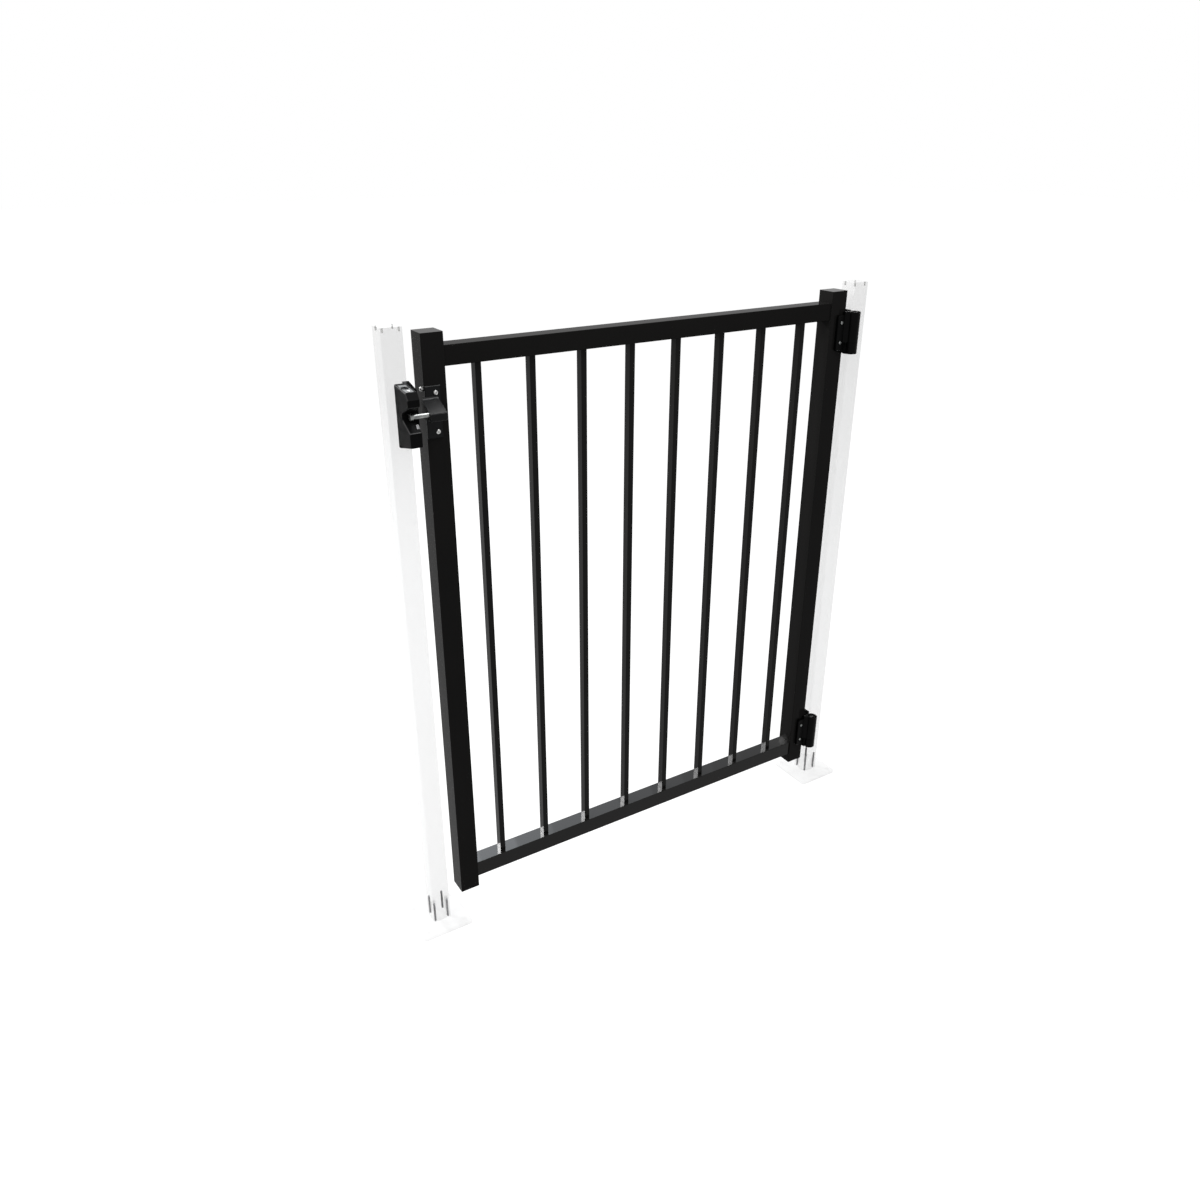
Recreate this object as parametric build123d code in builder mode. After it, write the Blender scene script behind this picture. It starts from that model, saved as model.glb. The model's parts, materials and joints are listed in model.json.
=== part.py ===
import os

from build123d import *

os.makedirs("parts", exist_ok=True)

# Frame: origin on the underside of the hinge post's base plate, at its middle.
# X runs along the gate, with the latch post at -X. Y runs away from the viewer. Z is up.

# Gate leaf
rail_span = 1219.2        # underside of the bottom rail to the top of the top rail
clear_width = 952.5       # between the two stiles
stile_width = 44.45
stile_wall = 2.0
stile_overrun = 25.4      # stile beyond each rail
rail_width = 38.1
rail_wall = 2.0
picket_x = 12.7
picket_y = 19.05
picket_wall = 1.5
picket_count = 8
picket_pitch = 115.6
picket_slip = 0.2         # slack round a picket in its rail hole
tube_corner = 1.0
end_cap = 2.0
plug_depth = 10.0
plug_slip = 0.2

# Posts
post_width = 41.3
post_wall = 2.2
post_corner = 1.2
post_rise = 15.4          # top of the post cap above the stiles
post_cap = 3.2
port_spacing = 31.0       # screw ports in the corners of the post
port_block = 8.4          # square block around each screw hole
foot_screw_radius = 2.4
foot_screw_length = 48.5
screw_slip = 0.3
plate_width = 117.5
plate_thick = 9.5
plate_corner = 6.0
anchor_spacing = 88.9
anchor_radius = 5.5

# Gaps round the leaf
ground_gap = 92.0         # ground to the underside of the bottom rail
hinge_gap = 23.0          # hinge stile to hinge post
latch_gap = 31.0          # latch stile to latch post

# Hinges
hinge_height = 95.0
hinge_offset = 542.0      # each hinge from the middle height of the leaf
barrel_radius = 14.0
barrel_out = 9.35         # hinge axis from the post's inner face
barrel_front = 16.35      # hinge axis from the post's front face
seam_share = 0.27         # height of the post's knuckle over the whole barrel
seam_gap = 0.6
pin_radius = 5.0
pin_fit = 0.1
pin_recess = 1.5
gate_wing_width = 23.5
gate_wing_height = 80.0
gate_wing_thick = 8.0
gate_wing_inset = 3.4     # wing from the stile's outer edge
wing_corner = 5.0
wing_bevel = 1.5
tab_width = 6.0           # thin edge of the gate wing behind the barrel
tab_thick = 3.0
web_inset = 5.0           # web from the wing's free edge
post_wing_thick = 5.0
post_wing_front = -16.0
post_wing_back = 18.0

# Latch, with its heights measured from the axis of the striker pin
latch_width = 23.0
latch_inset = 1.5         # latch from the inner face of its post
latch_depth = 60.35       # out from the post's front face
latch_rise_back = 54.0
latch_rise_front = 48.0
brow_rise = 36.0
brow_run = 9.5
mouth_rise = 23.5
mouth_drop = 24.0
mouth_throat = 10.4       # height of the mouth at its back
mouth_seat = 0.3          # striker head to the back of the mouth
latch_drop_front = 50.0
latch_drop_back = 63.0
latch_bevel = 1.4
tray_rim = 3.0
tray_depth = 1.6
lock_radius = 7.0
lock_slip = 0.3
lock_height = 8.0
lock_proud = 0.8
lock_share = 0.4          # lock axis along the tray, from the post
star_long = 10.0
star_wide = 3.0
star_deep = 3.0
tongue_x = 5.2
tongue_y = 8.0
tongue_nose = 6.0
tongue_flat = 2.0
tongue_drop = 12.0        # tip below the axis of the striker pin
tongue_length = 31.0
tongue_ahead = 3.0        # tongue ahead of the striker pin
tongue_slip = 0.3

# Striker
pin_drop = 113.2          # pin axis below the top of the top rail
pin_out = 33.775          # pin axis from the stile's front face
striker_radius = 4.75
striker_head_radius = 7.5
striker_head_length = 5.0
striker_fit = 0.1
head_inset = 10.5         # striker head in from the latch's far side
bracket_thick = 3.0
bracket_rise = 44.0
bracket_drop = 54.0
bracket_right = 31.0      # plate width from the stile's outer edge
bracket_bevel = 1.0
arm_left = 8.0            # arm beyond the stile's outer edge
arm_right = 25.0
arm_nose = 9.2            # arm ahead of the pin axis
arm_ledge = 5.0
arm_rise = 20.0
lip_rise = 1.5
arm_drop = 12.0
bore_end = 5.0            # arm left closed beyond the pin's bore
pin_slack = 1.0

# Places worked out from the sizes above
leaf_width = clear_width + 2 * stile_width
hinge_edge = -post_width / 2 - hinge_gap
latch_edge = hinge_edge - leaf_width
latch_post_x = latch_edge - latch_gap - post_width / 2
leaf_mid_x = (hinge_edge + latch_edge) / 2
rail_low = ground_gap
rail_high = ground_gap + rail_span
stile_low = rail_low - stile_overrun
stile_high = rail_high + stile_overrun
stile_front = -stile_width / 2
post_front = -post_width / 2
post_height = stile_high + post_rise
axis_x = -post_width / 2 - barrel_out
axis_y = post_front - barrel_front
leaf_mid_z = (rail_low + rail_high) / 2
pin_y = stile_front - pin_out
pin_z = rail_high - pin_drop


def save(piece, label):
    piece.label = label
    export_step(piece, f"parts/{label}.step")


# Posts, each an extrusion with a screw port in every corner
def make_post(label, x):
    with BuildPart() as post:
        with BuildSketch(Plane.XY.offset(plate_thick)):
            with Locations((x, 0)):
                RectangleRounded(post_width, post_width, post_corner)
                Rectangle(post_width - 2 * post_wall, post_width - 2 * post_wall, mode=Mode.SUBTRACT)
                with GridLocations(port_spacing, port_spacing, 2, 2):
                    Rectangle(port_block, port_block)
                with GridLocations(port_spacing, port_spacing, 2, 2):
                    Circle(foot_screw_radius + screw_slip, mode=Mode.SUBTRACT)
        extrude(amount=post_height - post_cap - plate_thick)
    save(post.part, label)


def make_post_cap(label, x):
    with BuildPart() as cap:
        with BuildSketch(Plane.XY.offset(post_height - post_cap)):
            with Locations((x, 0)):
                RectangleRounded(post_width, post_width, post_corner)
        extrude(amount=post_cap)
        chamfer(cap.faces().sort_by(Axis.Z)[-1].edges(), 0.8)
    save(cap.part, label)


def make_base(label, x):
    with BuildPart() as base:
        with BuildSketch(Plane.XY):
            with Locations((x, 0)):
                RectangleRounded(plate_width, plate_width, plate_corner)
                with GridLocations(anchor_spacing, anchor_spacing, 2, 2):
                    Circle(anchor_radius, mode=Mode.SUBTRACT)
        extrude(amount=plate_thick)
        top_edges = base.faces().sort_by(Axis.Z)[-1].outer_wire().edges()
        chamfer(top_edges, 1.0)
    save(base.part, label)


def make_foot_screw(label, x, y):
    with BuildPart() as screw:
        with BuildSketch(Plane.XY.offset(plate_thick)):
            with Locations((x, y)):
                Circle(foot_screw_radius)
        extrude(amount=foot_screw_length)
    save(screw.part, label)


for side, post_x in (("latch", latch_post_x), ("hinge", 0.0)):
    make_post(f"{side}_post", post_x)
    make_post_cap(f"{side}_post_cap", post_x)
    make_base(f"{side}_post_base", post_x)
    corners = GridLocations(port_spacing, port_spacing, 2, 2).locations
    for number, corner in enumerate(corners, start=1):
        spot = corner.position
        make_foot_screw(f"{side}_post_screw_{number}", post_x + spot.X, spot.Y)


# Stiles with their end caps
def make_stile(label, x):
    with BuildPart() as stile:
        with BuildSketch(Plane.XY.offset(stile_low + end_cap)):
            with Locations((x, 0)):
                RectangleRounded(stile_width, stile_width, tube_corner)
                Rectangle(stile_width - 2 * stile_wall, stile_width - 2 * stile_wall, mode=Mode.SUBTRACT)
        extrude(amount=stile_high - stile_low - 2 * end_cap)
    save(stile.part, label)


def make_stile_cap(label, x, z, inward):
    inside = stile_width - 2 * stile_wall - 2 * plug_slip
    with BuildPart() as cap:
        with BuildSketch(Plane.XY.offset(z)):
            with Locations((x, 0)):
                RectangleRounded(stile_width, stile_width, tube_corner)
        extrude(amount=inward * end_cap)
        with BuildSketch(Plane.XY.offset(z + inward * end_cap)):
            with Locations((x, 0)):
                Rectangle(inside, inside)
                Rectangle(inside - 4, inside - 4, mode=Mode.SUBTRACT)
        extrude(amount=inward * plug_depth)
    save(cap.part, label)


for side, edge, inward in (("latch", latch_edge, 1), ("hinge", hinge_edge, -1)):
    stile_x = edge + inward * stile_width / 2
    make_stile(f"{side}_stile", stile_x)
    make_stile_cap(f"{side}_stile_top_cap", stile_x, stile_high, -1)
    make_stile_cap(f"{side}_stile_foot_cap", stile_x, stile_low, 1)


# Rails, drilled on their inner side for the pickets
def make_rail(label, z_low, drilled_z):
    with BuildPart() as rail:
        with BuildSketch(Plane.YZ.offset(leaf_mid_x - clear_width / 2)):
            with Locations((0, z_low + rail_width / 2)):
                RectangleRounded(rail_width, rail_width, tube_corner)
                Rectangle(rail_width - 2 * rail_wall, rail_width - 2 * rail_wall, mode=Mode.SUBTRACT)
        extrude(amount=clear_width)
        with BuildSketch(Plane.XY.offset(drilled_z)):
            with Locations((leaf_mid_x, 0)):
                with GridLocations(picket_pitch, 1, picket_count, 1):
                    Rectangle(picket_x + 2 * picket_slip, picket_y + 2 * picket_slip)
        extrude(amount=rail_wall, both=True, mode=Mode.SUBTRACT)
    save(rail.part, label)


make_rail("bottom_rail", rail_low, rail_low + rail_width)
make_rail("top_rail", rail_high - rail_width, rail_high - rail_width)


# Pickets, standing on the floor of the bottom rail and reaching the roof of the top rail
def make_picket(label, x):
    with BuildPart() as picket:
        with BuildSketch(Plane.XY.offset(rail_low + rail_wall)):
            with Locations((x, 0)):
                RectangleRounded(picket_x, picket_y, tube_corner)
                Rectangle(picket_x - 2 * picket_wall, picket_y - 2 * picket_wall, mode=Mode.SUBTRACT)
        extrude(amount=rail_span - 2 * rail_wall)
    save(picket.part, label)


for number in range(picket_count):
    picket_at = leaf_mid_x + (number - (picket_count - 1) / 2) * picket_pitch
    make_picket(f"picket_{number + 1}", picket_at)


# Hinges: a wing on the front of the stile, a wing in the gap on the post, and a pin through both
def make_gate_wing(label, z):
    knuckle_low = z - hinge_height / 2 + hinge_height * seam_share + seam_gap / 2
    knuckle_rise = z + hinge_height / 2 - knuckle_low
    wing_right = hinge_edge - gate_wing_inset
    wing_left = wing_right - gate_wing_width
    with BuildPart() as wing:
        with BuildSketch(Plane.XZ.offset(-stile_front)):
            with Locations(((wing_left + wing_right) / 2, z)):
                RectangleRounded(gate_wing_width, gate_wing_height, wing_corner)
        extrude(amount=gate_wing_thick)
        chamfer(wing.faces().sort_by(Axis.Y)[0].edges(), wing_bevel)
        with BuildSketch(Plane.XZ.offset(-stile_front)):
            with Locations((wing_right + tab_width / 2 - wing_corner / 2, z)):
                Rectangle(tab_width + wing_corner, gate_wing_height - 2 * wing_corner)
        extrude(amount=tab_thick)
        with BuildSketch(Plane.XY.offset(knuckle_low)):
            with Locations((axis_x, axis_y)):
                Circle(barrel_radius)
            with BuildLine():
                Polyline(
                    (axis_x, axis_y - barrel_radius),
                    (wing_right - web_inset, stile_front - gate_wing_thick),
                    (wing_right - web_inset, stile_front),
                    (axis_x, axis_y + barrel_radius),
                    close=True,
                )
            make_face()
        extrude(amount=knuckle_rise)
        with BuildSketch(Plane.XY.offset(knuckle_low)):
            with Locations((axis_x, axis_y)):
                Circle(pin_radius + pin_fit)
        extrude(amount=knuckle_rise, mode=Mode.SUBTRACT)
        chamfer(wing.faces().sort_by(Axis.Z)[-1].outer_wire().edges(), wing_bevel)
    save(wing.part, label)


def make_post_wing(label, z):
    half = hinge_height / 2
    knuckle = hinge_height * seam_share - seam_gap / 2
    web_left = axis_x - barrel_radius / 2
    post_face = -post_width / 2
    with BuildPart() as wing:
        with BuildSketch(Plane.XY.offset(z - half)):
            with Locations((post_face - post_wing_thick / 2, (post_wing_front + post_wing_back) / 2)):
                Rectangle(post_wing_thick, post_wing_back - post_wing_front)
        extrude(amount=hinge_height)
        with BuildSketch(Plane.XY.offset(z - half)):
            with Locations((axis_x, axis_y)):
                Circle(barrel_radius)
            with Locations(((web_left + post_face) / 2, (axis_y + post_wing_front) / 2)):
                Rectangle(post_face - web_left, post_wing_front - axis_y)
        extrude(amount=knuckle)
        with BuildSketch(Plane.XY.offset(z - half)):
            with Locations((axis_x, axis_y)):
                Circle(pin_radius + pin_fit)
        extrude(amount=knuckle, mode=Mode.SUBTRACT)
    save(wing.part, label)


def make_hinge_pin(label, z):
    with BuildPart() as pin:
        with BuildSketch(Plane.XY.offset(z - hinge_height / 2 + pin_recess)):
            with Locations((axis_x, axis_y)):
                Circle(pin_radius)
        extrude(amount=hinge_height - 2 * pin_recess)
    save(pin.part, label)


for level, side in (("upper", 1), ("lower", -1)):
    hinge_z = leaf_mid_z + side * hinge_offset
    make_gate_wing(f"{level}_hinge_gate_wing", hinge_z)
    make_post_wing(f"{level}_hinge_post_wing", hinge_z)
    make_hinge_pin(f"{level}_hinge_pin", hinge_z)

# Latch body on the front of its post, with a mouth open to the front
latch_right = latch_post_x + post_width / 2 - latch_inset
latch_left = latch_right - latch_width
latch_front = post_front - latch_depth
mouth_back = pin_y + striker_head_radius + mouth_seat
brow_y = latch_front + brow_run
top_slope = (latch_rise_back - latch_rise_front) / (post_front - brow_y)
tray_back = post_front - tray_rim
tray_front = brow_y + tray_rim
floor_back = pin_z + latch_rise_back - top_slope * tray_rim - tray_depth
floor_front = pin_z + latch_rise_front + top_slope * tray_rim - tray_depth
lock_x = (latch_left + latch_right) / 2
lock_y = tray_back + (tray_front - tray_back) * lock_share
lock_z = floor_back + (floor_front - floor_back) * lock_share
tongue_left = latch_right - tongue_x
tongue_back = pin_y - striker_radius - tongue_ahead
tongue_tip = pin_z - tongue_drop
tongue_foot = tongue_tip - tongue_length
with BuildPart() as latch_body:
    with BuildSketch(Plane.YZ.offset(latch_left)):
        with BuildLine():
            Polyline(
                (post_front, pin_z - latch_drop_back),
                (latch_front, pin_z - latch_drop_front),
                (latch_front, pin_z - mouth_drop),
                (mouth_back, pin_z - mouth_throat / 2),
                (mouth_back, pin_z + mouth_throat / 2),
                (latch_front, pin_z + mouth_rise),
                (latch_front, pin_z + brow_rise),
                (brow_y, pin_z + latch_rise_front),
                (post_front, pin_z + latch_rise_back),
                close=True,
            )
        make_face()
    extrude(amount=latch_width)
    sides = latch_body.faces().filter_by(Axis.X)
    side_edges = sides.edges().filter_by(lambda edge: edge.center().Y < post_front - latch_bevel)
    chamfer(side_edges, latch_bevel)
    with BuildSketch(Plane.YZ.offset(latch_left + tray_rim)):
        with BuildLine():
            Polyline(
                (tray_back, floor_back),
                (tray_front, floor_front),
                (tray_front, floor_front + 2 * tray_depth),
                (tray_back, floor_back + 2 * tray_depth),
                close=True,
            )
        make_face()
    extrude(amount=latch_width - 2 * tray_rim, mode=Mode.SUBTRACT)
    with BuildSketch(Plane.XY.offset(lock_z + lock_proud)):
        with Locations((lock_x, lock_y)):
            Circle(lock_radius + lock_slip)
    extrude(amount=-lock_height, mode=Mode.SUBTRACT)
    with BuildSketch(Plane.XY.offset(tongue_foot - tongue_slip)):
        with Locations((latch_right - tongue_x / 2, tongue_back - tongue_y / 2)):
            Rectangle(tongue_x + 2 * tongue_slip, tongue_y + 2 * tongue_slip)
    extrude(amount=pin_z - mouth_throat / 2 - tongue_foot, mode=Mode.SUBTRACT)
save(latch_body.part, "latch_body")

with BuildPart() as latch_lock:
    with BuildSketch(Plane.XY.offset(lock_z + lock_proud - lock_height)):
        with Locations((lock_x, lock_y)):
            Circle(lock_radius)
    extrude(amount=lock_height)
    with BuildSketch(Plane.XY.offset(lock_z + lock_proud)):
        with Locations((lock_x, lock_y)):
            Rectangle(star_long, star_wide)
            Rectangle(star_wide, star_long)
    extrude(amount=-star_deep, mode=Mode.SUBTRACT)
save(latch_lock.part, "latch_lock")

with BuildPart() as latch_tongue:
    with BuildSketch(Plane.YZ.offset(tongue_left)):
        with BuildLine():
            Polyline(
                (tongue_back, tongue_foot),
                (tongue_back, tongue_tip),
                (tongue_back - tongue_flat, tongue_tip),
                (tongue_back - tongue_y, tongue_tip - tongue_nose),
                (tongue_back - tongue_y, tongue_foot),
                close=True,
            )
        make_face()
    extrude(amount=tongue_x)
save(latch_tongue.part, "latch_tongue")

# Striker bracket on the latch stile and the pin that it carries into the mouth
arm_x0 = latch_edge - arm_left
arm_x1 = latch_edge + arm_right
plate_front = stile_front - bracket_thick
arm_front = pin_y - arm_nose
with BuildPart() as striker_bracket:
    with BuildSketch(Plane.XZ.offset(-stile_front)):
        with Locations((latch_edge + bracket_right / 2, pin_z + (bracket_rise - bracket_drop) / 2)):
            Rectangle(bracket_right, bracket_rise + bracket_drop)
    extrude(amount=bracket_thick)
    chamfer(striker_bracket.faces().sort_by(Axis.Y)[0].edges(), bracket_bevel)
    with BuildSketch(Plane.YZ.offset(arm_x0)):
        with BuildLine():
            Polyline(
                (plate_front, pin_z - arm_drop),
                (arm_front, pin_z - arm_drop),
                (arm_front, pin_z + lip_rise),
                (plate_front - arm_ledge, pin_z + arm_rise),
                (plate_front, pin_z + arm_rise),
                close=True,
            )
        make_face()
    extrude(amount=arm_x1 - arm_x0)
    nose_edges = striker_bracket.edges().filter_by(Axis.X).group_by(Axis.Y)[0]
    chamfer(nose_edges, bracket_bevel)
    with BuildSketch(Plane.YZ.offset(arm_x0)):
        with Locations((pin_y, pin_z)):
            Circle(striker_radius + striker_fit)
    extrude(amount=arm_x1 - arm_x0 - bore_end, mode=Mode.SUBTRACT)
save(striker_bracket.part, "striker_bracket")

striker_tip = latch_left + head_inset
with BuildPart() as striker_pin:
    with BuildSketch(Plane.YZ.offset(striker_tip)):
        with Locations((pin_y, pin_z)):
            Circle(striker_head_radius)
    extrude(amount=striker_head_length)
    with BuildSketch(Plane.YZ.offset(striker_tip)):
        with Locations((pin_y, pin_z)):
            Circle(striker_radius)
    extrude(amount=arm_x1 - bore_end - pin_slack - striker_tip)
    chamfer(striker_pin.edges().filter_by(GeomType.CIRCLE).sort_by(Axis.X)[0], 1.0)
save(striker_pin.part, "striker_pin")
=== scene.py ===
import json
import math

import bmesh
import bpy
from mathutils import Matrix, Vector

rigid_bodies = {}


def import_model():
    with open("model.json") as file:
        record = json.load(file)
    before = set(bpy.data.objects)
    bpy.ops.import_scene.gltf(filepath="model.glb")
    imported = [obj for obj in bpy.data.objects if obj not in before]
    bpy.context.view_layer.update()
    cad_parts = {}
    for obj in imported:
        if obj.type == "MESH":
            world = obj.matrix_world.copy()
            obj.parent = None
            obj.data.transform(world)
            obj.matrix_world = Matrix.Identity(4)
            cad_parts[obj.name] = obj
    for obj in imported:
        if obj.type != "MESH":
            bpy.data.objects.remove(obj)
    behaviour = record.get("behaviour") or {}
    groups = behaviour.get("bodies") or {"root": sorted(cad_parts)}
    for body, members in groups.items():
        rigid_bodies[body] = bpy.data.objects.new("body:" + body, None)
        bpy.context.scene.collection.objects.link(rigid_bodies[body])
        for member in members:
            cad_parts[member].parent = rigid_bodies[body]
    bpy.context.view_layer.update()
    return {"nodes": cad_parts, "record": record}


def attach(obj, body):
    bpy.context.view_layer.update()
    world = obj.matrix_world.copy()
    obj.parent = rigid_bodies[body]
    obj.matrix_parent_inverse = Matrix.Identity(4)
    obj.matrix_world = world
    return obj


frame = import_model()
scene = bpy.context.scene
scene.view_settings.view_transform = "Standard"
print("frame loaded", len(frame["nodes"]), "pieces")

# Camera, at the eye point of the photograph
viewpoint = {
    "place": (-1.7512, -1.7036, 1.6476),
    "tiltDown": 24.888,
    "turnRight": 31.802,
    "lens": 29.511,
    "sensor": 36.0,
    "nearest": 0.05,
    "farthest": 60.0,
}
cameraData = bpy.data.cameras.new("gateCamera")
cameraData.sensor_fit = "AUTO"
cameraData.sensor_width = viewpoint["sensor"]
cameraData.lens = viewpoint["lens"]
cameraData.clip_start = viewpoint["nearest"]
cameraData.clip_end = viewpoint["farthest"]
gateCamera = bpy.data.objects.new("gateCamera", cameraData)
scene.collection.objects.link(gateCamera)
gateCamera.location = viewpoint["place"]
gateCamera.rotation_euler = (
    math.radians(90 - viewpoint["tiltDown"]), 0.0, math.radians(-viewpoint["turnRight"]))
scene.camera = gateCamera
print("camera set")

# Studio
studio = {
    "floorColour": (0.30, 0.30, 0.30, 1.0),
    "floorLift": 0.8,           # added white, so that the floor reads as paper
    "floorSize": 60.0,
    "floorPlace": (-0.565, 0.0, -0.0005),
    "skyFill": 0.72,            # dome light on the object
    "lowAim": 0.13,             # height that the boxes behind point at
    "sparkPower": 130.0,        # low box behind, mirrored at the feet of the pickets
    "sparkPlace": (-2.76, 3.17, 2.954),
    "sparkSize": (0.84, 0.075),
    "stripPower": 7.2,          # row of boxes behind, mirrored along the bottom rail
    "stripPlace": (-0.10, 3.17, 2.96),
    "stripSize": (0.28, 0.42),
    "stripCount": 12,
    "stripFade": 0.71,          # each box over the one before it
    "stripTint": (0.90, 0.95, 1.0),
    "topPower": 16.0,           # box overhead, for a sheen on the sloped faces
    "topPlace": (-0.65, -0.12, 2.3),
    "topSize": (0.26, 1.25),
    "sidePower": 8.0,           # small box on the latch side, for the bevels of the latch
    "sidePlace": (-2.09, 0.57, 2.11),
    "sideAim": (-1.14, -0.06, 1.18),
    "sideSize": (0.3, 0.3),
}


def addLamp(name, place, aim, size, power, tint=(1.0, 1.0, 1.0)):
    lampData = bpy.data.lights.new(name, "AREA")
    lampData.shape = "RECTANGLE"
    lampData.size = size[0]
    lampData.size_y = size[1]
    lampData.energy = power
    lampData.color = tint
    lamp = bpy.data.objects.new(name, lampData)
    scene.collection.objects.link(lamp)
    lamp.location = place
    lamp.rotation_euler = (Vector(aim) - Vector(place)).to_track_quat("-Z", "Y").to_euler()


addLamp("topLamp", studio["topPlace"], studio["topPlace"][:2] + (0.0,), studio["topSize"],
        studio["topPower"])
addLamp("sideLamp", studio["sidePlace"], studio["sideAim"], studio["sideSize"], studio["sidePower"])
addLamp("sparkLamp", studio["sparkPlace"], (studio["sparkPlace"][0], 0.0, studio["lowAim"]),
        studio["sparkSize"], studio["sparkPower"])
for step in range(studio["stripCount"]):
    stripX = studio["stripPlace"][0] + step * studio["stripSize"][0]
    addLamp(f"stripLamp{step + 1}", (stripX,) + studio["stripPlace"][1:],
            (stripX, 0.0, studio["lowAim"]), studio["stripSize"],
            studio["stripPower"] * studio["stripFade"] ** step, studio["stripTint"])


def feed(tree, value, socket):                              # sets a number or links an output
    if isinstance(value, (int, float)):
        socket.default_value = value
    else:
        tree.links.new(value, socket)


def mathNode(tree, operation, *values):
    node = tree.nodes.new("ShaderNodeMath")
    node.operation = operation
    for socket, value in zip(node.inputs, values):
        feed(tree, value, socket)
    return node.outputs[0]


def mixShaders(tree, share, first, second):
    mix = tree.nodes.new("ShaderNodeMixShader")
    for socket, value in zip(mix.inputs, (share, first.outputs[0], second.outputs[0])):
        tree.links.new(value, socket)
    return mix.outputs[0]


def seenRays(tree):                                         # 1 for what the eye and the gloss see
    path = tree.nodes.new("ShaderNodeLightPath").outputs
    direct = mathNode(tree, "MAXIMUM", path["Is Camera Ray"], path["Is Glossy Ray"])
    return mathNode(tree, "MAXIMUM", direct, path["Is Transmission Ray"])


world = bpy.data.worlds.new("studioWorld")
scene.world = world
world.use_nodes = True
worldTree = world.node_tree
worldTree.nodes.clear()
worldOut = worldTree.nodes.new("ShaderNodeOutputWorld")
paperSky = worldTree.nodes.new("ShaderNodeBackground")      # seen behind the gate
fillSky = worldTree.nodes.new("ShaderNodeBackground")       # lights the gate
for sky, strength in ((paperSky, 1.0), (fillSky, studio["skyFill"])):
    sky.inputs["Color"].default_value = (1.0, 1.0, 1.0, 1.0)
    sky.inputs["Strength"].default_value = strength
worldTree.links.new(mixShaders(worldTree, seenRays(worldTree), fillSky, paperSky),
                    worldOut.inputs["Surface"])

floorMesh = bpy.data.meshes.new("studioFloor")
half = studio["floorSize"] / 2
floorMesh.from_pydata(
    [(-half, -half, 0), (half, -half, 0), (half, half, 0), (-half, half, 0)], [], [(0, 1, 2, 3)])
studioFloor = bpy.data.objects.new("studioFloor", floorMesh)
scene.collection.objects.link(studioFloor)
studioFloor.location = studio["floorPlace"]
floorMaterial = bpy.data.materials.new("paperFloor")
floorMaterial.use_nodes = True
floorTree = floorMaterial.node_tree
floorTree.nodes.clear()
floorOut = floorTree.nodes.new("ShaderNodeOutputMaterial")
floorPaint = floorTree.nodes.new("ShaderNodeBsdfDiffuse")
floorPaint.inputs["Color"].default_value = studio["floorColour"]
floorGlow = floorTree.nodes.new("ShaderNodeEmission")
floorGlow.inputs["Strength"].default_value = studio["floorLift"]
noGlow = floorTree.nodes.new("ShaderNodeEmission")
noGlow.inputs["Strength"].default_value = 0.0
floorSum = floorTree.nodes.new("ShaderNodeAddShader")
floorTree.links.new(floorPaint.outputs[0], floorSum.inputs[0])
floorTree.links.new(mixShaders(floorTree, seenRays(floorTree), noGlow, floorGlow),
                    floorSum.inputs[1])
floorTree.links.new(floorSum.outputs[0], floorOut.inputs["Surface"])
floorMesh.materials.append(floorMaterial)
print("studio set")

# Shared surface effects
noiseSpan = (0.3, 0.7)          # the part of a noise that is spread over a range
peelNoise = {"peelDetail": 2.0, "driftScale": 7.0, "driftDetail": 3.0, "driftShare": 0.6,
             "speckScale": 160.0, "speckDetail": 4.0, "speckShare": 0.4}
grainNoise = {"flowScale": 45.0, "flowDetail": 4.0}
bevelHighlight = {"facing": -0.7, "spread": 0.16, "rise": 0.2}    # painted highlight on bevels that face left and up
brushNoise = {"lineScale": 1.0, "lineDetail": 4.0, "cloudScale": 120.0, "cloudDetail": 3.0}


def startGroup(name, *ownInputs):
    group = bpy.data.node_groups.new(name, "ShaderNodeTree")
    shared = (("Rough Low", "Float"), ("Rough High", "Float"), ("Colour", "Color"), ("Shade", "Color"))
    for label, kind in ownInputs + shared:
        group.interface.new_socket(label, in_out="INPUT", socket_type="NodeSocket" + kind)
    for label, kind in (("Colour", "Color"), ("Roughness", "Float"), ("Height", "Float")):
        group.interface.new_socket(label, in_out="OUTPUT", socket_type="NodeSocket" + kind)
    given = group.nodes.new("NodeGroupInput").outputs
    place = group.nodes.new("ShaderNodeTexCoord").outputs["Object"]
    return group, given, place


def endGroup(group, colour, roughness, height):
    result = group.nodes.new("NodeGroupOutput")
    for label, value in (("Colour", colour), ("Roughness", roughness), ("Height", height)):
        group.links.new(value, result.inputs[label])
    return group


def noiseNode(tree, place, scale, detail):
    noise = tree.nodes.new("ShaderNodeTexNoise")
    noise.inputs["Detail"].default_value = detail
    tree.links.new(place, noise.inputs["Vector"])
    feed(tree, scale, noise.inputs["Scale"])
    return noise.outputs["Fac"]


def rangeNode(tree, value, low, high):
    spread = tree.nodes.new("ShaderNodeMapRange")
    tree.links.new(value, spread.inputs["Value"])
    spread.inputs["From Min"].default_value, spread.inputs["From Max"].default_value = noiseSpan
    feed(tree, low, spread.inputs["To Min"])
    feed(tree, high, spread.inputs["To Max"])
    return spread.outputs["Result"]


def mixColours(tree, share, first, second):
    mix = tree.nodes.new("ShaderNodeMix")
    mix.data_type = "RGBA"
    for socket, value in ((0, share), (6, first), (7, second)):    # the node's colour sockets
        tree.links.new(value, mix.inputs[socket])
    return mix.outputs[2]


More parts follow.
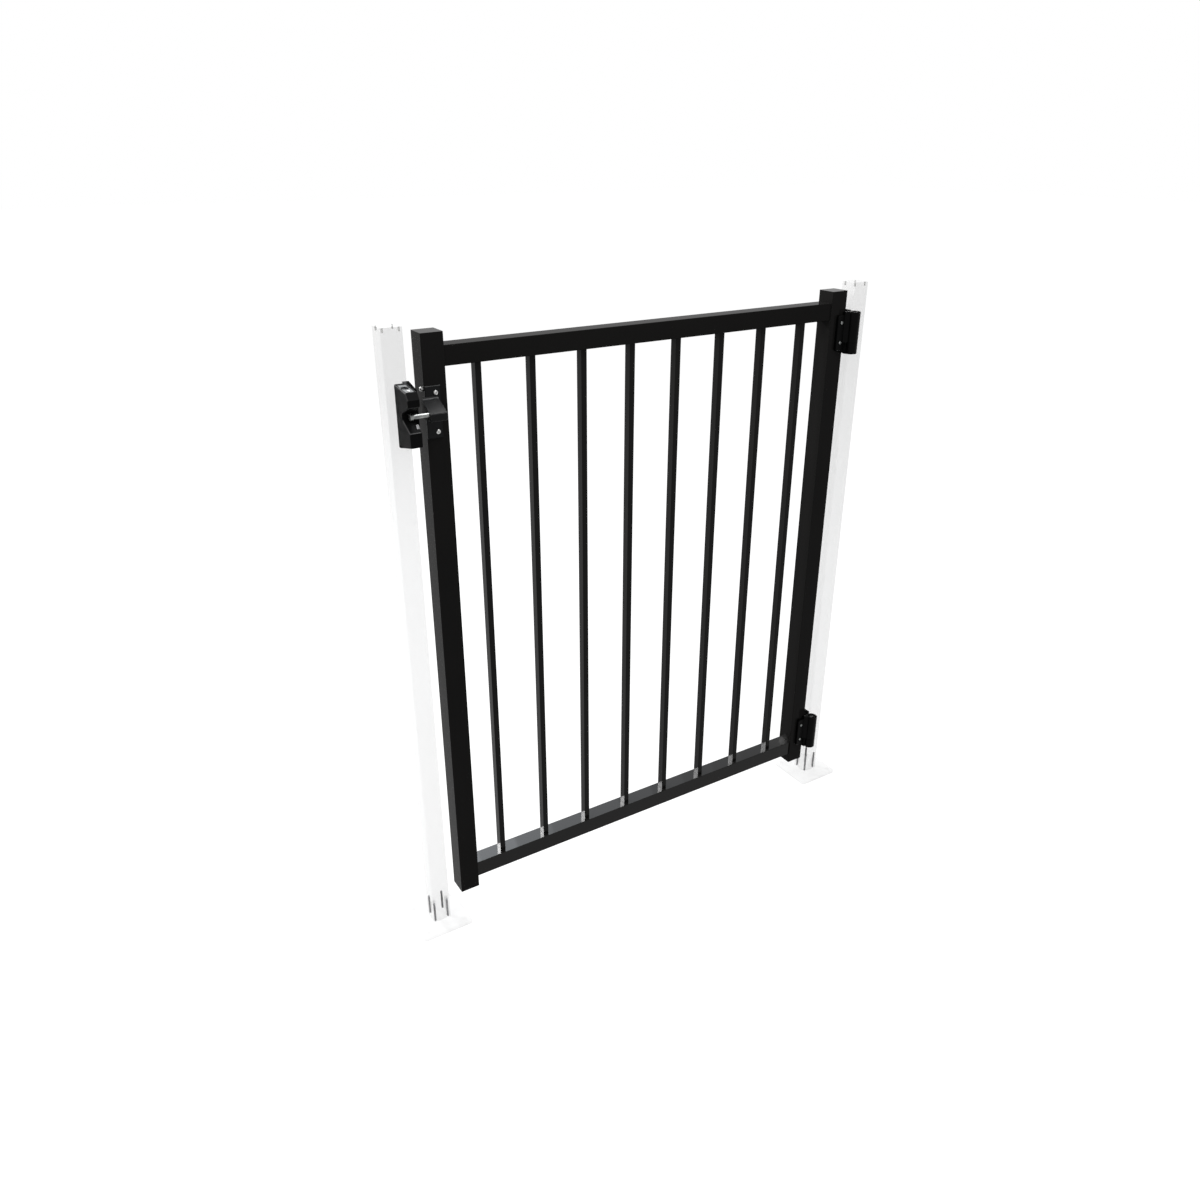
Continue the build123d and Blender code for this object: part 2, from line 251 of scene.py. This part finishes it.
def makeCoatPeel():
    group, given, place = startGroup("coatPeel", ("Peel Scale", "Float"))
    peel = noiseNode(group, place, given["Peel Scale"], peelNoise["peelDetail"])
    drift = noiseNode(group, place, peelNoise["driftScale"], peelNoise["driftDetail"])
    speck = noiseNode(group, place, peelNoise["speckScale"], peelNoise["speckDetail"])
    drifted = mathNode(group, "MULTIPLY", drift, peelNoise["driftShare"])
    blend = mathNode(group, "MULTIPLY_ADD", speck, peelNoise["speckShare"], drifted)
    rough = rangeNode(group, blend, given["Rough Low"], given["Rough High"])
    colour = mixColours(group, rangeNode(group, blend, 0.0, 1.0), given["Colour"], given["Shade"])
    return endGroup(group, colour, rough, peel)


def makeMouldGrain():
    group, given, place = startGroup("mouldGrain", ("Grain Scale", "Float"), ("Bevel Highlight", "Color"))
    cells = group.nodes.new("ShaderNodeTexVoronoi")
    group.links.new(place, cells.inputs["Vector"])
    group.links.new(given["Grain Scale"], cells.inputs["Scale"])
    flow = noiseNode(group, place, grainNoise["flowScale"], grainNoise["flowDetail"])
    rough = rangeNode(group, flow, given["Rough Low"], given["Rough High"])
    plain = mixColours(group, rangeNode(group, flow, 0.0, 1.0), given["Colour"], given["Shade"])
    # painted highlight: facets that face left and up take the lighter highlight colour instead of the
    # plain one
    tilt = group.nodes.new("ShaderNodeSeparateXYZ")
    group.links.new(group.nodes.new("ShaderNodeNewGeometry").outputs["True Normal"], tilt.inputs[0])
    sideways = mathNode(
        group, "COMPARE", tilt.outputs["X"], bevelHighlight["facing"], bevelHighlight["spread"])
    upwards = mathNode(group, "GREATER_THAN", tilt.outputs["Z"], bevelHighlight["rise"])
    highlightMask = mathNode(group, "MULTIPLY", sideways, upwards)
    colour = mixColours(group, highlightMask, plain, given["Bevel Highlight"])
    return endGroup(group, colour, rough, cells.outputs["Distance"])


def makeSteelBrush():
    group, given, place = startGroup("steelBrush", ("Streak", "Vector"))
    stretch = group.nodes.new("ShaderNodeVectorMath")
    stretch.operation = "MULTIPLY"
    group.links.new(place, stretch.inputs[0])
    group.links.new(given["Streak"], stretch.inputs[1])
    lines = noiseNode(group, stretch.outputs[0], brushNoise["lineScale"], brushNoise["lineDetail"])
    cloud = noiseNode(group, place, brushNoise["cloudScale"], brushNoise["cloudDetail"])
    rough = rangeNode(group, lines, given["Rough Low"], given["Rough High"])
    colour = mixColours(group, rangeNode(group, cloud, 0.0, 1.0), given["Colour"], given["Shade"])
    return endGroup(group, colour, rough, lines)


coatPeel = makeCoatPeel()
mouldGrain = makeMouldGrain()
steelBrush = makeSteelBrush()
print("surface effects made")

# Finishes
relief = {                      # depth and strength of the bump in each effect
    "peelDepth": 0.00012,
    "grainDepth": 0.0001,
    "grainStrength": 0.25,
    "brushDepth": 0.00005,
    "brushStrength": 0.2,
}


def finishMaterial(name, group, values, own, strength, depth, metallic=0.0, specular=0.5):
    material = bpy.data.materials.new(name)
    material.use_nodes = True
    tree = material.node_tree
    tree.nodes.clear()
    out = tree.nodes.new("ShaderNodeOutputMaterial")
    shader = tree.nodes.new("ShaderNodeBsdfPrincipled")
    effect = tree.nodes.new("ShaderNodeGroup")
    effect.node_tree = group
    shared = {"Rough Low": values["roughLow"], "Rough High": values["roughHigh"],
              "Colour": values["colour"], "Shade": values["shade"]}
    for label, value in (shared | own).items():
        effect.inputs[label].default_value = value
    bump = tree.nodes.new("ShaderNodeBump")
    bump.inputs["Strength"].default_value = strength
    bump.inputs["Distance"].default_value = depth
    tree.links.new(effect.outputs["Height"], bump.inputs["Height"])
    tree.links.new(effect.outputs["Colour"], shader.inputs["Base Color"])
    tree.links.new(effect.outputs["Roughness"], shader.inputs["Roughness"])
    tree.links.new(bump.outputs["Normal"], shader.inputs["Normal"])
    shader.inputs["Metallic"].default_value = metallic
    shader.inputs["Specular IOR Level"].default_value = specular
    tree.links.new(shader.outputs["BSDF"], out.inputs["Surface"])
    return material, shader


leafCoat = {
    "colour": (0.0110, 0.0106, 0.0103, 1.0),
    "shade": (0.0092, 0.0089, 0.0087, 1.0),
    "roughLow": 0.03,
    "roughHigh": 0.05,
    "peelScale": 700.0,
    "peelStrength": 0.012,
    "sheen": {"stile": 0.017, "picket": 0.045, "bottom_rail": 0.105, "top_rail": 0.004},
    "depth": {"stile": 1.0, "picket": 0.9, "bottom_rail": 1.0, "top_rail": 1.1},    # painted light and shade: each part's copy of the coat is made lighter or darker to how light falls on it
    "blur": {"stile": 1.0, "picket": 0.5, "bottom_rail": 1.0, "top_rail": 1.0},     # on the roughness
}


def coatMaterial(role):
    values = {key: leafCoat[key] * leafCoat["blur"][role] for key in ("roughLow", "roughHigh")}
    # painted light and shade: the part's colours are scaled by its factor
    for key in ("colour", "shade"):
        values[key] = tuple(leafCoat["depth"][role] * part for part in leafCoat[key][:3]) + (1.0,)
    return finishMaterial(
        role + "Coat", coatPeel, values, {"Peel Scale": leafCoat["peelScale"]},
        leafCoat["peelStrength"], relief["peelDepth"], specular=leafCoat["sheen"][role])[0]


leafCoats = {role: coatMaterial(role) for role in leafCoat["sheen"]}

postCoat = {
    "colour": (0.45, 0.45, 0.45, 1.0),
    "shade": (0.43, 0.43, 0.432, 1.0),
    "roughLow": 0.3,
    "roughHigh": 0.4,
    "peelScale": 700.0,
    "peelStrength": 0.12,
    "specular": 0.4,
    "solid": 0.33,              # 1 is a solid post, lower lets the screws inside show
    "plateSolid": 0.25,         # the same for the base plates
}


def postMaterial(name, solid):                              # only the first wall in sight adds a tint
    material, shader = finishMaterial(
        name, coatPeel, postCoat, {"Peel Scale": postCoat["peelScale"]},
        postCoat["peelStrength"], relief["peelDepth"], specular=postCoat["specular"])
    tree = material.node_tree
    inside = tree.nodes.new("ShaderNodeNewGeometry").outputs["Backfacing"]
    wallsBefore = tree.nodes.new("ShaderNodeLightPath").outputs["Transparent Depth"]
    outerTint = mathNode(tree, "MULTIPLY_ADD", inside, -solid, solid)
    firstWall = mathNode(tree, "LESS_THAN", wallsBefore, 0.5)   # none before it
    tree.links.new(mathNode(tree, "MULTIPLY", outerTint, firstWall), shader.inputs["Alpha"])
    return material


whiteCoat = postMaterial("whiteCoat", postCoat["solid"])
plateCoat = postMaterial("plateCoat", postCoat["plateSolid"])

hingeMould = {
    "colour": (0.0009, 0.0009, 0.0009, 1.0),
    "shade": (0.0014, 0.0014, 0.0015, 1.0),
    "roughLow": 0.3,
    "roughHigh": 0.42,
    "grainScale": 1500.0,
    "specular": 0.045,
}
latchMould = {
    "colour": (0.0044, 0.0045, 0.0046, 1.0),
    "shade": (0.0062, 0.0063, 0.0065, 1.0),
    "edge": (0.042, 0.042, 0.043, 1.0),     # painted highlight on the bevels that face left and up
    "roughLow": 0.3,
    "roughHigh": 0.42,
    "grainScale": 1300.0,
    "specular": 0.014,
}
strikerCoat = {
    "colour": (0.0030, 0.0033, 0.0037, 1.0),
    "shade": (0.0040, 0.0044, 0.0049, 1.0),
    "roughLow": 0.28,
    "roughHigh": 0.4,
    "grainScale": 900.0,
    "specular": 0.1,
}
# painted reflection: pale grey in place of the light reflected off the black tray top; the specular on
# it is real
trayReflection = {
    "colour": (0.11, 0.112, 0.114, 1.0),
    "shade": (0.20, 0.202, 0.204, 1.0),
    "roughLow": 0.40,
    "roughHigh": 0.55,
    "grainScale": 700.0,
    "specular": 0.3,
}
# painted light: a lighter, bluish copy of the striker's coat, for the light band along the ridge
ridgeLitCoat = {
    "colour": (0.0075, 0.0080, 0.0086, 1.0),
    "shade": (0.0100, 0.0105, 0.0112, 1.0),
    "roughLow": 0.3,
    "roughHigh": 0.42,
    "grainScale": 900.0,
    "specular": 0.2,
}
flangeMould = {
    "colour": (0.0032, 0.0032, 0.0033, 1.0),
    "shade": (0.0045, 0.0045, 0.0046, 1.0),
    "roughLow": 0.45,
    "roughHigh": 0.6,
    "grainScale": 1300.0,
    "specular": 0.002,
}
# painted highlight: a pale copy of the latch's black, for light lines along the mouth's front edges
lipHighlightMould = {
    "colour": (0.028, 0.028, 0.029, 1.0),
    "shade": (0.042, 0.042, 0.043, 1.0),
    "roughLow": 0.3,
    "roughHigh": 0.42,
    "grainScale": 1300.0,
    "specular": 0.2,
}


def mouldMaterial(name, values):
    return finishMaterial(
        name, mouldGrain, values,
        {"Grain Scale": values["grainScale"], "Bevel Highlight": values.get("edge", values["colour"])},
        relief["grainStrength"], relief["grainDepth"], specular=values["specular"])[0]


blackMould = mouldMaterial("blackMould", hingeMould)
latchBlack = mouldMaterial("latchBlack", latchMould)
strikerBlack = mouldMaterial("strikerBlack", strikerCoat)
lipPaintedHighlight = mouldMaterial("lipPaintedHighlight", lipHighlightMould)
trayPaintedReflection = mouldMaterial("trayPaintedReflection", trayReflection)
ridgeLitBlack = mouldMaterial("ridgeLitBlack", ridgeLitCoat)
flangeBlack = mouldMaterial("flangeBlack", flangeMould)

pinFinish = {
    "colour": (0.29, 0.30, 0.29, 1.0),
    "shade": (0.12, 0.125, 0.125, 1.0),
    "roughLow": 0.22,
    "roughHigh": 0.44,
    "streak": (40.0, 700.0, 700.0),
}
screwFinish = {
    "colour": (0.74, 0.74, 0.72, 1.0),
    "shade": (0.34, 0.34, 0.34, 1.0),
    "roughLow": 0.26,
    "roughHigh": 0.42,
    "streak": (500.0, 500.0, 500.0),
}
darkFinish = {
    "colour": (0.11, 0.11, 0.112, 1.0),
    "shade": (0.04, 0.04, 0.041, 1.0),
    "roughLow": 0.35,
    "roughHigh": 0.55,
    "streak": (500.0, 500.0, 60.0),
}
postScrewFinish = {
    "colour": (0.27, 0.27, 0.275, 1.0),
    "shade": (0.11, 0.11, 0.112, 1.0),
    "roughLow": 0.35,
    "roughHigh": 0.55,
    "streak": (500.0, 500.0, 60.0),
}


def steelMaterial(name, values):
    return finishMaterial(
        name, steelBrush, values, {"Streak": values["streak"]},
        relief["brushStrength"], relief["brushDepth"], metallic=1.0)[0]


brightSteel = steelMaterial("brightSteel", pinFinish)
screwSteel = steelMaterial("screwSteel", screwFinish)
darkSteel = steelMaterial("darkSteel", darkFinish)
postScrewSteel = steelMaterial("postScrewSteel", postScrewFinish)
print("finishes made")

# Finishes on the solid pieces
slotFinish = {
    "post_white": whiteCoat,
    "gate_black": leafCoats["stile"],
    "moulded_black": blackMould,
    "bright_steel": brightSteel,
}
nameFinish = {                  # by part of a piece's name
    "latch_body": latchBlack,
    "latch_lock": blackMould,
    "latch_tongue": darkSteel,
    "striker_bracket": strikerBlack,
    "_hinge_pin": darkSteel,
    "_screw_": postScrewSteel,
    "_post_base": plateCoat,
}
slotOf = {part["node"]: part["material_slot"] for part in frame["record"]["subparts"]}
for nodeName, nodeObject in frame["nodes"].items():
    finish = slotFinish[slotOf[nodeName]]
    coats = leafCoats if slotOf[nodeName] == "gate_black" else {}
    for part, choice in (nameFinish | coats).items():
        if part in nodeName:
            finish = choice
    for meshObject in [nodeObject] + list(nodeObject.children_recursive):
        if meshObject.type == "MESH":
            meshObject.data.materials.clear()
            meshObject.data.materials.append(finish)
print("solid pieces dressed")

# Small fasteners, each a round head with a cross cut in it
screwForm = {
    "collar": 0.25,             # straight part, as a share of the height
    "flat": 0.42,               # flat middle, as a share of the radius
    "bend": 0.86,               # how far the crown curves over, as a share of a quarter turn
    "stages": 6,
    "crossReach": 0.82,
    "crossSlot": 0.24,
    "crossDepth": 0.55,
    "crossTaper": 0.8,
    "upright": 0.9,             # a head that faces up or down more than this has no level side
}
smoothAngle = {"screw": 40.0, "mould": 30.0}    # sharper edges stay crisp


def cutCross(mesh, centre, outward, across, reach, depth):
    slot = reach * screwForm["crossSlot"]
    up = outward.cross(across)
    corners = []
    for turn in range(4):
        angle = turn * math.pi / 2
        side = across * math.cos(angle) + up * math.sin(angle)
        flank = across * -math.sin(angle) + up * math.cos(angle)
        corners += [side * reach - flank * slot, side * reach + flank * slot, (side + flank) * slot]
    rim = [mesh.verts.new(centre + corner) for corner in corners]
    floor = [mesh.verts.new(centre + corner * screwForm["crossTaper"] - outward * depth)
             for corner in corners]
    for spot in range(len(rim)):
        after = (spot + 1) % len(rim)
        mesh.faces.new((rim[spot], rim[after], floor[after], floor[spot]))
    mesh.faces.new(floor)
    return rim


def ringEdges(ring):
    found = []
    for spot, vert in enumerate(ring):
        after = ring[(spot + 1) % len(ring)]
        found += [edge for edge in vert.link_edges if edge.other_vert(vert) is after]
    return found


def addScrew(mesh, place, outward, values):
    centre = Vector(place)
    outward = Vector(outward).normalized()
    across = outward.orthogonal().normalized()
    if abs(outward.z) < screwForm["upright"]:
        across = Vector((0.0, 0.0, 1.0)).cross(outward).normalized()
    across = (Matrix.Rotation(math.radians(values["turn"]), 3, outward) @ across).normalized()
    up = outward.cross(across)
    count = values["sides"]
    collar, flat = screwForm["collar"], screwForm["flat"]
    profile = [(values["radius"], -values["sunk"]), (values["radius"], collar * values["height"])]
    for stage in range(1, screwForm["stages"] + 1):
        bend = stage / screwForm["stages"] * math.pi / 2 * screwForm["bend"]
        profile.append((values["radius"] * (flat + (1 - flat) * math.cos(bend)),
                        values["height"] * (collar + (1 - collar) * math.sin(bend))))
    rings = []
    for radius, lift in profile:
        ring = []
        for spot in range(count):
            angle = 2 * math.pi * spot / count
            ring.append(mesh.verts.new(
                centre + across * math.cos(angle) * radius + up * math.sin(angle) * radius
                + outward * lift))
        rings.append(ring)
    for low, high in zip(rings, rings[1:]):
        for spot in range(count):
            after = (spot + 1) % count
            mesh.faces.new((low[spot], low[after], high[after], high[spot]))
    mesh.faces.new(list(reversed(rings[0])))
    top = centre + outward * profile[-1][1]
    reach = profile[-1][0] * screwForm["crossReach"]
    rim = cutCross(mesh, top, outward, across, reach, values["height"] * screwForm["crossDepth"])
    bmesh.ops.bridge_loops(mesh, edges=ringEdges(rings[-1]) + ringEdges(rim))


def finishPiece(name, mesh, material, body, kind):
    bmesh.ops.recalc_face_normals(mesh, faces=mesh.faces)
    for face in mesh.faces:
        face.smooth = True
    crisp = math.radians(smoothAngle[kind])
    for edge in mesh.edges:
        if len(edge.link_faces) == 2 and edge.calc_face_angle(0.0) > crisp:
            edge.smooth = False
    data = bpy.data.meshes.new(name)
    mesh.to_mesh(data)
    mesh.free()
    data.materials.append(material)
    piece = bpy.data.objects.new(name, data)
    scene.collection.objects.link(piece)
    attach(piece, body)


hingeScrew = {
    "radius": 0.0037, "height": 0.0024, "sunk": 0.0006, "sides": 28, "turn": 20.0,
    "across": -0.0605, "front": -0.030225,
    "heights": {"upper": (1.2670, 1.2220), "lower": (0.1830, 0.1380)},
}
for level, heights in hingeScrew["heights"].items():
    mesh = bmesh.new()
    for height in heights:
        addScrew(mesh, (hingeScrew["across"], hingeScrew["front"], height), (0, -1, 0), hingeScrew)
    finishPiece(f"{level}HingeScrews", mesh, brightSteel, "leaf", "screw")

strikerScrew = {
    "radius": 0.0046, "height": 0.0030, "sunk": 0.0006, "sides": 32, "turn": 35.0,
    "fronts": ((-1.0643, -0.025225, 1.2290), (-1.0643, -0.025225, 1.1560)),
    "side": (-1.08505, -0.0140, 1.2362),
    "sideHeight": 0.0052,       # the head on the side stands out further
}
mesh = bmesh.new()
for place in strikerScrew["fronts"]:
    addScrew(mesh, place, (0, -1, 0), strikerScrew)
addScrew(mesh, strikerScrew["side"], (-1, 0, 0),
         dict(strikerScrew, height=strikerScrew["sideHeight"]))
finishPiece("strikerScrews", mesh, screwSteel, "leaf", "screw")

trayScrew = {
    "radius": 0.0030, "height": 0.0016, "sunk": 0.0008, "sides": 28, "turn": 10.0,
    "place": (-1.12905, -0.0600, 1.24615),
    "facing": (0, -0.118, 0.993),
}
mesh = bmesh.new()
addScrew(mesh, trayScrew["place"], trayScrew["facing"], trayScrew)
finishPiece("latchTrayScrew", mesh, screwSteel, "posts", "screw")

capScrew = {
    "radius": 0.0019, "height": 0.0016, "sunk": 0.0072, "sides": 20, "turn": 0.0,
    "under": 1.3440,
    "fromMiddle": 0.0155,
    "posts": {"latch": -1.1367, "hinge": 0.0},
}
for side, middle in capScrew["posts"].items():
    mesh = bmesh.new()
    for across in (-capScrew["fromMiddle"], capScrew["fromMiddle"]):
        for depth in (-capScrew["fromMiddle"], capScrew["fromMiddle"]):
            addScrew(mesh, (middle + across, depth, capScrew["under"]), (0, 0, -1), capScrew)
    finishPiece(f"{side}CapScrews", mesh, screwSteel, "posts", "screw")
print("fasteners added")

# Liner in the tray on top of the latch, open round the lock; its pale grey is painted reflection on
# the black tray, its gloss a real one
trayLiner = {
    "left": -1.13735, "right": -1.12075,
    "back": -0.02385, "front": -0.06830,
    "backHeight": 1.25003, "frontHeight": 1.24477,
    "gap": 0.00002, "thick": 0.0004,
    "hole": (-1.12905, -0.0416), "holeRadius": 0.0076, "sides": 48,
}


def linerSpot(x, y, lift):
    share = (y - trayLiner["back"]) / (trayLiner["front"] - trayLiner["back"])
    height = trayLiner["backHeight"] + share * (trayLiner["frontHeight"] - trayLiner["backHeight"])
    return Vector((x, y, height + lift))


mesh = bmesh.new()
holeX, holeY = trayLiner["hole"]
holeRadius = trayLiner["holeRadius"]
loops = []
for lift in (trayLiner["gap"], trayLiner["thick"]):
    outer, inner = [], []
    for step in range(trayLiner["sides"]):
        angle = 2 * math.pi * (step + 0.5) / trayLiner["sides"]
        aim = Vector((math.cos(angle), math.sin(angle)))
        reachX = ((trayLiner["right"] if aim.x > 0 else trayLiner["left"]) - holeX) / aim.x
        reachY = ((trayLiner["back"] if aim.y > 0 else trayLiner["front"]) - holeY) / aim.y
        reach = min(reachX, reachY)
        outer.append(mesh.verts.new(linerSpot(holeX + reach * aim.x, holeY + reach * aim.y, lift)))
        inner.append(mesh.verts.new(
            linerSpot(holeX + holeRadius * aim.x, holeY + holeRadius * aim.y, lift)))
    loops.append((outer, inner))
(lowOuter, lowInner), (highOuter, highInner) = loops
walls = ((highOuter, highInner), (lowInner, lowOuter), (lowOuter, highOuter), (highInner, lowInner))
for step in range(trayLiner["sides"]):
    after = (step + 1) % trayLiner["sides"]
    for ringA, ringB in walls:
        mesh.faces.new((ringA[step], ringA[after], ringB[after], ringB[step]))
finishPiece("latchTrayLiner", mesh, trayPaintedReflection, "posts", "mould")
print("latch tray lined")


# Small mouldings on the latch, the hinges and the striker
def addPrism(mesh, outline, axis, low, high):               # an outline drawn out along an axis
    rings = []
    for reach in (low, high):
        rings.append([mesh.verts.new(Vector(spot[:axis] + (reach,) + spot[axis:]))
                      for spot in outline])
    mesh.faces.new(rings[0])
    mesh.faces.new(list(reversed(rings[1])))
    for step in range(len(outline)):
        after = (step + 1) % len(outline)
        mesh.faces.new((rings[0][step], rings[1][step], rings[1][after], rings[0][after]))
    return rings


def roundEdges(mesh, edges, values):
    bmesh.ops.bevel(mesh, geom=edges, offset=values["round"], segments=values["roundSteps"],
                    profile=0.5, affect="EDGES", clamp_overlap=True)


latchFlange = {
    "outline": [(-1.1177, -0.0340), (-1.1030, -0.0340), (-1.1030, 0.0040), (-1.11595, 0.0040),
                (-1.11595, -0.02085), (-1.1177, -0.02085)],
    "low": 1.1390, "high": 1.2498,
    "browDrop": 0.0098,         # front of the top below its back
    "round": 0.0012, "roundSteps": 2,
}
mesh = bmesh.new()
lowRing, highRing = addPrism(mesh, latchFlange["outline"], 2, latchFlange["low"], latchFlange["high"])
for vert in highRing[:2]:
    vert.co.z -= latchFlange["browDrop"]
roundEdges(mesh, mesh.edges[:], latchFlange)
finishPiece("latchSideFlange", mesh, flangeBlack, "posts", "mould")

# half-round lips in the painted-highlight colour along the mouth's front edges
mouthLips = {
    "left": -1.13905, "right": -1.11905,
    "outlines": (
        [(-0.0810, 1.1728), (-0.0810, 1.1744), (-0.0808, 1.17478), (-0.0804, 1.1751),
         (-0.0799, 1.1753), (-0.0794, 1.17538), (-0.0789, 1.1753), (-0.0787, 1.1748)],
        [(-0.0810, 1.2224), (-0.0810, 1.2210), (-0.0807, 1.2207), (-0.0803, 1.2205),
         (-0.0798, 1.2204), (-0.0793, 1.2205), (-0.0790, 1.2210)]),
}
mesh = bmesh.new()
for outline in mouthLips["outlines"]:
    addPrism(mesh, outline, 0, mouthLips["left"], mouthLips["right"])
finishPiece("latchMouthLips", mesh, lipPaintedHighlight, "posts", "mould")

hingeToe = {
    "outline": [(-0.0540, -0.0222), (-0.0540, -0.0300), (-0.0480, -0.0300), (-0.0472, -0.0362),
                (-0.0454, -0.0362), (-0.0446, -0.0300), (-0.0444, -0.0222)],
    "middles": {"upper": 1.2436, "lower": 0.1596},
    "low": -0.0475, "high": -0.0220,    # from the hinge's middle
    "wingLift": 0.0045,                 # the wing's end of the foot above the pin's end
    "round": 0.0007, "roundSteps": 2,
    "sharp": 0.5,                       # edges that turn more than this are rounded
}
for level, middle in hingeToe["middles"].items():
    mesh = bmesh.new()
    lowRing, highRing = addPrism(
        mesh, hingeToe["outline"], 2, middle + hingeToe["low"], middle + hingeToe["high"])
    for vert in lowRing[:2]:
        vert.co.z += hingeToe["wingLift"]
    bmesh.ops.triangulate(mesh, faces=[face for face in mesh.faces if len(face.verts) > 4])
    roundEdges(mesh, [edge for edge in mesh.edges if edge.calc_face_angle(0) > hingeToe["sharp"]],
               hingeToe)
    finishPiece(f"{level}HingeToe", mesh, blackMould, "leaf", "mould")

strikerRidge = {
    "left": -1.0912, "right": -1.0602,
    "plate": -0.02528, "ledge": 1.21802,
    "reach": 0.0048, "rise": 0.0046,
    "hollow": 0.9,              # 1 is a round hollow, lower is fuller
    "steps": 6,
}
mesh = bmesh.new()
ridgeOutline = [(strikerRidge["plate"], strikerRidge["ledge"])]
for step in range(strikerRidge["steps"] + 1):
    turn = math.pi / 2 * step / strikerRidge["steps"]
    reachShare = (1 - math.sin(turn)) ** strikerRidge["hollow"]
    riseShare = (1 - math.cos(turn)) ** strikerRidge["hollow"]
    ridgeOutline.append((strikerRidge["plate"] - strikerRidge["reach"] * reachShare,
                         strikerRidge["ledge"] + strikerRidge["rise"] * riseShare))
addPrism(mesh, ridgeOutline, 0, strikerRidge["left"], strikerRidge["right"])
# the ridge carries painted light in its lighter coat
finishPiece("strikerRidge", mesh, ridgeLitBlack, "leaf", "mould")
print("mouldings added")
